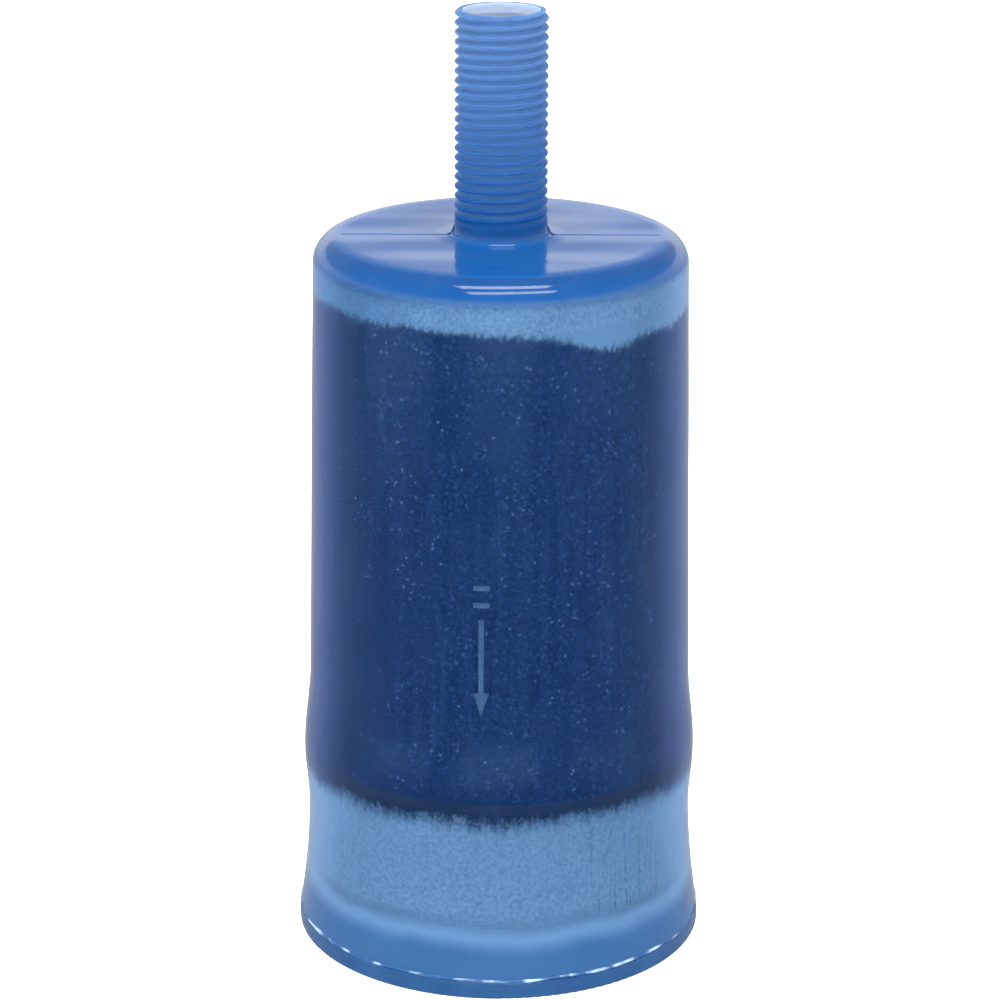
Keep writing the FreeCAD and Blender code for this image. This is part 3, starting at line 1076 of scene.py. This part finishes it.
@dataclass
class PartingMarks:
    """Fine ridge where the mould halves met: across the roof and up the neck's foot."""

    housing: Housing
    width: float = 0.2 * MM
    rise: float = 0.06 * MM
    sink: float = 0.2 * MM
    root: float = 0.2 * MM
    end_gap: float = 0.4 * MM
    edge: float = 0.05 * MM
    fin_reach: float = 0.6 * MM
    fin_height: float = 2.0 * MM

    def ridge(self, side: int) -> bpy.types.Object:
        """One half of the ridge across the roof, with its fin at the neck."""
        house = self.housing
        roof = house.side.roof
        start = house.crest - self.root
        end = house.side.radius(roof) - house.shoulder - self.end_gap
        deselect_all()
        bpy.ops.mesh.primitive_cube_add(size=1, location=(0, 0, 0))
        piece = bpy.context.object
        bpy.ops.object.mode_set(mode="EDIT")
        bpy.ops.mesh.select_all(action="SELECT")
        bpy.ops.transform.resize(value=(end - start, self.width, self.rise + self.sink))
        bpy.ops.mesh.subdivide(number_cuts=24)
        height = roof + (self.rise - self.sink) / 2
        bpy.ops.transform.translate(value=(side * (start + end) / 2, 0, height))
        bpy.ops.object.mode_set(mode="OBJECT")
        reach = house.collar_foot + self.fin_reach

        def climb(points: np.ndarray) -> np.ndarray:
            """Raise the ridge into a fin where it meets the neck."""
            near = np.clip((reach - np.abs(points[:, 0])) / (reach - start), 0, 1)
            lift = np.where(points[:, 2] > roof, self.fin_height * near**2, 0)
            return np.column_stack([points[:, 0], points[:, 1], points[:, 2] + lift])

        move_vertices(piece, climb)
        return piece

    def build(self, material: bpy.types.Material) -> None:
        """Build and dress the two ridges as one piece."""
        marks = join("parting_ridge", [self.ridge(side) for side in (-1, 1)])
        bevel(marks, self.edge, 1)
        smooth(marks)
        dress(marks, material)
        install(marks, "blue_housing", "shell")


@dataclass
class WeldSeam:
    """Flash that the weld squeezed out between housing and cap."""

    side: SideShape
    section: float = 0.42 * MM
    inset: float = 0.22 * MM
    lump_depth: float = 0.10 * MM
    waviness: float = 0.25 * MM
    points: int = 12
    steps: int = 360

    def build(self) -> None:
        """Build and dress the bead."""
        seam = self.side.seam
        centre = self.side.radius(seam) - self.inset
        outline = arc((centre, seam), self.section, -180, 150, self.points)
        bead = spin_outline("weld_flash", outline, self.steps, True)

        def ragged(points: np.ndarray) -> np.ndarray:
            """Squeeze the bead out unevenly."""
            moved = points.copy()
            for row in moved:
                point = Vector((row[0], row[1], 0))
                lump = 0.5 * wander(point, 420.0, 5.0) + 0.5 * wander(point, 150.0, 8.0)
                level = seam + self.waviness * wander(point, 110.0, 2.0)
                reach = math.hypot(row[0], row[1])
                inward = self.lump_depth * (1 - lump)
                shrink = (reach - inward * (1 if reach > centre else 0)) / reach
                row[0] *= shrink
                row[1] *= shrink
                row[2] = level + (row[2] - seam) * (0.75 + 0.45 * lump)
            return moved

        move_vertices(bead, ragged)
        smooth(bead)
        dress(bead, WeldFlash().build())
        install(bead, "weld_plastic", "weld_bead")


# ---------------------------------------------------------------- the packing


class Pad(Enum):
    """The felt pads, by CAD node."""

    FOOT = "lower_felt_1"
    MIDDLE = "lower_felt_2"
    UNDER_DIVIDER = "lower_felt_3"
    UNDER_ROOF = "upper_felt"


@dataclass
class Packing:
    """Felt pads and fibre wraps, each a soft block that fills its place in the housing."""

    side: SideShape
    wall: float = 1.5 * MM
    clearance: float = 0.12 * MM
    roof_wall: float = 3.0 * MM
    roof_corner: float = 2.3 * MM
    boss_clear: float = 8.75 * MM
    tube_clear: float = 6.62 * MM
    inner_radius: float = 8.58 * MM
    middle_radius: float = 17.95 * MM
    outer_hole: float = 18.15 * MM
    row_height: float = 0.9 * MM
    edge: float = 0.08 * MM
    unevenness: float = 0.08 * MM
    steps: int = 120

    def block(self, node: str, hole: float, limit: float | None) -> bpy.types.Object:
        """A soft block with rounded rims in a node's place.

        Args:
            node: The CAD node it stands for.
            hole: Radius of the hole through it, 0 for none.
            limit: Outside radius, or None to follow the housing's wall.

        Returns:
            The block.
        """
        low, high = (corner[2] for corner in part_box(node))

        def outer(z: float) -> float:
            """Outside radius at a height."""
            follow = self.side.radius(z) - self.wall - self.clearance
            if limit is not None:
                return limit
            corner = self.roof_corner
            top = self.side.roof - self.roof_wall
            if z > top - corner:
                rise = min(1.0, (z - top + corner) / corner)
                follow -= corner * (1 - math.sqrt(max(0.0, 1 - rise * rise)))
            return follow

        edge = self.edge
        rows = max(6, int((high - low) / self.row_height))
        heights = np.linspace(low + edge, high - edge, rows)
        outside = arc((outer(low) - edge, low + edge), edge, -90, 0, 5)[:-1]
        outside += [(outer(z), z) for z in heights]
        outside += arc((outer(high) - edge, high - edge), edge, 0, 90, 5)[1:]
        span = outer(low) - edge - hole
        across = [hole + span * share for share in (0.75, 0.5, 0.25)]
        top_face = [(r, high) for r in across]
        foot_face = [(r, low) for r in reversed(across)]
        if hole:
            inner = [(hole, high - edge), (hole, low + edge)]
            outline = outside + top_face + inner + foot_face
            piece = spin_outline(f"{node}_soft", outline, self.steps, True)
        else:
            outline = [(0.0, low)] + foot_face + outside + top_face + [(0.0, high)]
            piece = spin_outline(f"{node}_soft", outline, self.steps, False)
        move_vertices(piece, self.settle)
        smooth(piece, 60.0)
        return piece

    def settle(self, points: np.ndarray) -> np.ndarray:
        """Draw the side in here and there, so that the block isn't machined."""
        moved = points.copy()
        for row in moved:
            reach = math.hypot(row[0], row[1])
            if reach > 2 * MM:
                amount = self.unevenness * 0.5 * (1 + wander(Vector(row), 300.0, 11.0))
                row[0] *= 1 - amount / reach
                row[1] *= 1 - amount / reach
        return moved

    def pad(self, place: Pad) -> None:
        """Build and dress one felt pad."""
        limit = None
        hole = 0.0
        if place is Pad.FOOT:
            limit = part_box(place.value)[1][0]
        if place is Pad.UNDER_ROOF:
            hole = self.boss_clear
        piece = self.block(place.value, hole, limit)
        finish = WhiteFelt(
            name=f"felt_{place.name.lower()}",
            under_divider=place is Pad.UNDER_DIVIDER,
            under_roof=place is Pad.UNDER_ROOF,
            streaked=place in (Pad.MIDDLE, Pad.UNDER_DIVIDER),
        )
        dress(piece, finish.build())
        install(piece, "white_felt", place.value)

    def wrap(self, node: str, hole: float, limit: float | None, finish: Any, slot: str) -> None:
        """Build and dress one fibre wrap."""
        piece = self.block(node, hole, limit)
        dress(piece, finish)
        install(piece, slot, node)

    def build(self) -> None:
        """Build and dress all pads and wraps."""
        for place in Pad:
            self.pad(place)
        dark = DarkFibre().build()
        fine = WhiteFelt(name="felt_inner_wrap").build()
        self.wrap("inner_wrap", self.tube_clear, self.inner_radius, fine, "white_felt")
        self.wrap("middle_wrap", self.boss_clear, self.middle_radius, dark, "dark_fibre")
        self.wrap("outer_wrap", self.outer_hole, None, dark, "dark_fibre")


# ---------------------------------------------------------------- CAD pieces that stay


class CarriedPart(Enum):
    """CAD nodes that keep their own shape and only get a finish."""

    END_CAP = "end_cap"
    SCREEN = "outlet_screen"
    DIVIDER = "divider_disc"
    PLUG = "diffuser_plug"
    TUBE = "diffuser_tube"
    LOCK_RING = "tube_lock_ring"


@dataclass
class CarriedParts:
    """Finishes for the CAD nodes that stay."""

    nodes: dict[str, bpy.types.Object]

    def build(self) -> None:
        """Dress each node."""
        natural = MouldedPlastic(
            "natural_plastic", (0.80, 0.81, 0.78, 1.0), (0.66, 0.68, 0.66, 1.0)
        ).build()
        black = MouldedPlastic(
            "black_plastic", (0.020, 0.022, 0.026, 1.0), (0.010, 0.011, 0.014, 1.0)
        ).build()
        cap = CapPlastic().build()
        finishes = {
            CarriedPart.END_CAP: cap,
            CarriedPart.SCREEN: natural,
            CarriedPart.DIVIDER: black,
            CarriedPart.PLUG: natural,
            CarriedPart.TUBE: natural,
            CarriedPart.LOCK_RING: SpringSteel().build(),
        }
        for part, finish in finishes.items():
            node = self.nodes[part.value]
            dress(node, finish)
            LOG.info("%s: finish %s", part.value, finish.name)


# ---------------------------------------------------------------- studio


@dataclass
class Studio:
    """Pale floor, soft lights and the camera.

    Each band of the sky is a height, from -1 at the nadir to 1 at the zenith, and a brightness.
    The two ends come first, because a new colour ramp already has those two stops.
    """

    distance: float = 488.9 * MM
    height: float = 230.6 * MM
    pitch_deg: float = 18.43
    roll_deg: float = 0.2
    lens: float = 123.45
    sensor: float = 36.0
    light_distance: float = 1.1
    front_sky: float = 0.60
    back_sky: float = 1.06
    sky: tuple[tuple[float, float], ...] = (
        (-0.98, 0.30),
        (0.98, 0.35),
        (-0.10, 0.58),
        (0.10, 1.05),
        (0.2405, 1.14),
        (0.2530, 0.46),
        (0.60, 0.30),
    )

    def add_camera(self) -> None:
        """Stand the camera in front, looking a little down."""
        data = bpy.data.cameras.new("camera")
        data.lens = self.lens
        data.sensor_width = self.sensor
        data.clip_start = 0.01
        camera = bpy.data.objects.new("camera", data)
        camera.location = (0, -self.distance, self.height)
        tilt = Euler((math.radians(90 - self.pitch_deg), 0, 0)).to_matrix()
        roll = Euler((0, 0, math.radians(self.roll_deg))).to_matrix()
        camera.rotation_euler = (tilt @ roll).to_euler()
        bpy.context.collection.objects.link(camera)
        bpy.context.scene.camera = camera

    def add_softbox(
        self,
        name: str,
        azimuth: float,
        elevation: float,
        size: tuple[float, float],
        power: float,
        mirrored: bool = True,
    ) -> None:
        """A soft light aimed at the body's middle.

        Args:
            name: The light's name.
            azimuth: Its place round the body in degrees, 0 in front and positive toward +X.
            elevation: Its height above the horizon in degrees.
            size: Its width and height.
            power: Its watts.
            mirrored: Whether glossy surfaces show it.
        """
        data = bpy.data.lights.new(name, "AREA")
        data.shape = "RECTANGLE"
        data.size, data.size_y = size
        data.energy = power
        lamp = bpy.data.objects.new(name, data)
        turn = math.radians(azimuth)
        lift = math.radians(elevation)
        level = self.light_distance * math.cos(lift)
        target = Vector((0, 0, 0.07))
        lamp.location = target + Vector((
            level * math.sin(turn),
            -level * math.cos(turn),
            self.light_distance * math.sin(lift),
        ))
        lamp.rotation_euler = (target - lamp.location).to_track_quat("-Z", "Y").to_euler()
        lamp.visible_camera = False
        lamp.visible_glossy = mirrored
        bpy.context.collection.objects.link(lamp)

    def add_floor(self) -> None:
        """Lay the floor."""
        deselect_all()
        bpy.ops.mesh.primitive_grid_add(x_subdivisions=8, y_subdivisions=8, size=12)
        floor = bpy.context.object
        floor.name = "floor"
        dress(floor, FloorPaint().build())
        floor.visible_glossy = False
        floor.visible_transmission = False

    def add_sky(self) -> None:
        """Surroundings in soft bands: grey below, white low down, dim overhead."""
        world = bpy.data.worlds.new("studio_surroundings")
        world.use_nodes = True
        tree = world.node_tree
        place = tree.nodes.new("ShaderNodeTexCoord")
        split = tree.nodes.new("ShaderNodeSeparateXYZ")
        bands = tree.nodes.new("ShaderNodeValToRGB")
        shift = tree.nodes.new("ShaderNodeMath")
        shift.operation = "MULTIPLY_ADD"
        shift.inputs[1].default_value = 0.5
        shift.inputs[2].default_value = 0.5
        tree.links.new(place.outputs["Generated"], split.inputs[0])
        tree.links.new(split.outputs[2], shift.inputs[0])
        tree.links.new(shift.outputs[0], bands.inputs[0])
        tree.links.new(bands.outputs[0], tree.nodes["Background"].inputs["Color"])
        behind = tree.nodes.new("ShaderNodeMapRange")
        ends = {"From Min": -1.0, "From Max": 1.0, "To Min": self.front_sky, "To Max": self.back_sky}
        for name, value in ends.items():
            behind.inputs[name].default_value = value
        tree.links.new(split.outputs[1], behind.inputs["Value"])
        tree.links.new(behind.outputs[0], tree.nodes["Background"].inputs["Strength"])
        ramp = bands.color_ramp
        for index, (height, level) in enumerate(self.sky):
            place_on_ramp = (height + 1) / 2
            stop = ramp.elements[index] if index < 2 else ramp.elements.new(place_on_ramp)
            stop.position = place_on_ramp
            stop.color = (level, level, level, 1)
        bpy.context.scene.world = world

    def build(self) -> None:
        """Set the studio up."""
        bpy.context.scene.view_settings.view_transform = "Standard"
        self.add_floor()
        self.add_sky()
        self.add_camera()
        self.add_softbox("high_strip", 4, 76, (0.68, 0.25), 4.4)
        self.add_softbox("front_strip", 8, 52, (0.85, 0.2), 4.3)
        self.add_softbox("front_fill", 0, 6, (0.9, 0.8), 11.5, mirrored=False)
        self.add_softbox("side_fill_left", -66, 6, (1.0, 0.8), 11.0, mirrored=False)
        self.add_softbox("side_fill_right", 66, 6, (1.0, 0.8), 7.6, mirrored=False)
        self.add_softbox("top_fill", 0, 88, (1.0, 1.0), 8.0, mirrored=False)
        self.add_softbox("back_fill", 180, 8, (0.9, 0.8), 6.0, mirrored=False)


def main() -> None:
    """Build the muffler and its studio."""
    logging.basicConfig(level=logging.INFO, format="%(name)s %(message)s")
    housing = Housing()
    housing.build()
    WeldSeam(housing.side).build()
    Packing(housing.side).build()
    CarriedParts(frame["nodes"]).build()
    Studio().build()


if __name__ == "__main__":
    main()
